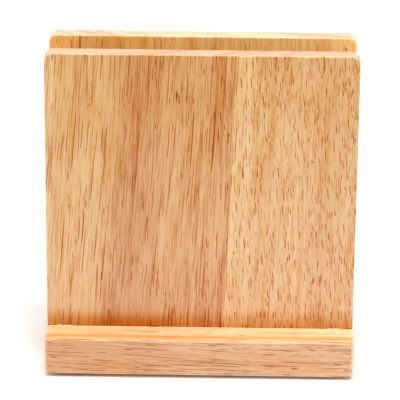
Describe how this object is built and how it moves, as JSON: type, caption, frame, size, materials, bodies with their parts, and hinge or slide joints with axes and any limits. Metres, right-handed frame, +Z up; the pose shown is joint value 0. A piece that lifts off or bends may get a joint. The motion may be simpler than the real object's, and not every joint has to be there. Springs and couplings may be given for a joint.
{
  "type": "napkin holder",
  "caption": "Table-top wooden napkin holder: two upright boards with a narrow open slot between them, housed in a thick rounded base board and screwed from below.",
  "frame": {"origin": "centre of the footprint, in the plane of the felt pads' undersides", "axes": "+X along the boards to the right as seen from the front, -Y to the front, +Z up"},
  "size_m": [0.15, 0.08, 0.1585],
  "materials": {
    "base_wood": "satin lacquered rubberwood, grain along X",
    "front_panel_wood": "satin lacquered rubberwood, grain upright",
    "back_panel_wood": "satin lacquered rubberwood, grain upright",
    "screw_steel": "zinc plated",
    "felt": "pressed dark brown felt"
  },
  "bodies": {
    "root": {"base_board": "base_wood", "front_panel": "front_panel_wood", "back_panel": "back_panel_wood", "screw_front_left": "screw_steel", "screw_front_right": "screw_steel", "screw_back_left": "screw_steel", "screw_back_right": "screw_steel", "felt_pad_front_left": "felt", "felt_pad_front_right": "felt", "felt_pad_back_left": "felt", "felt_pad_back_right": "felt"}
  },
  "joints": []
}
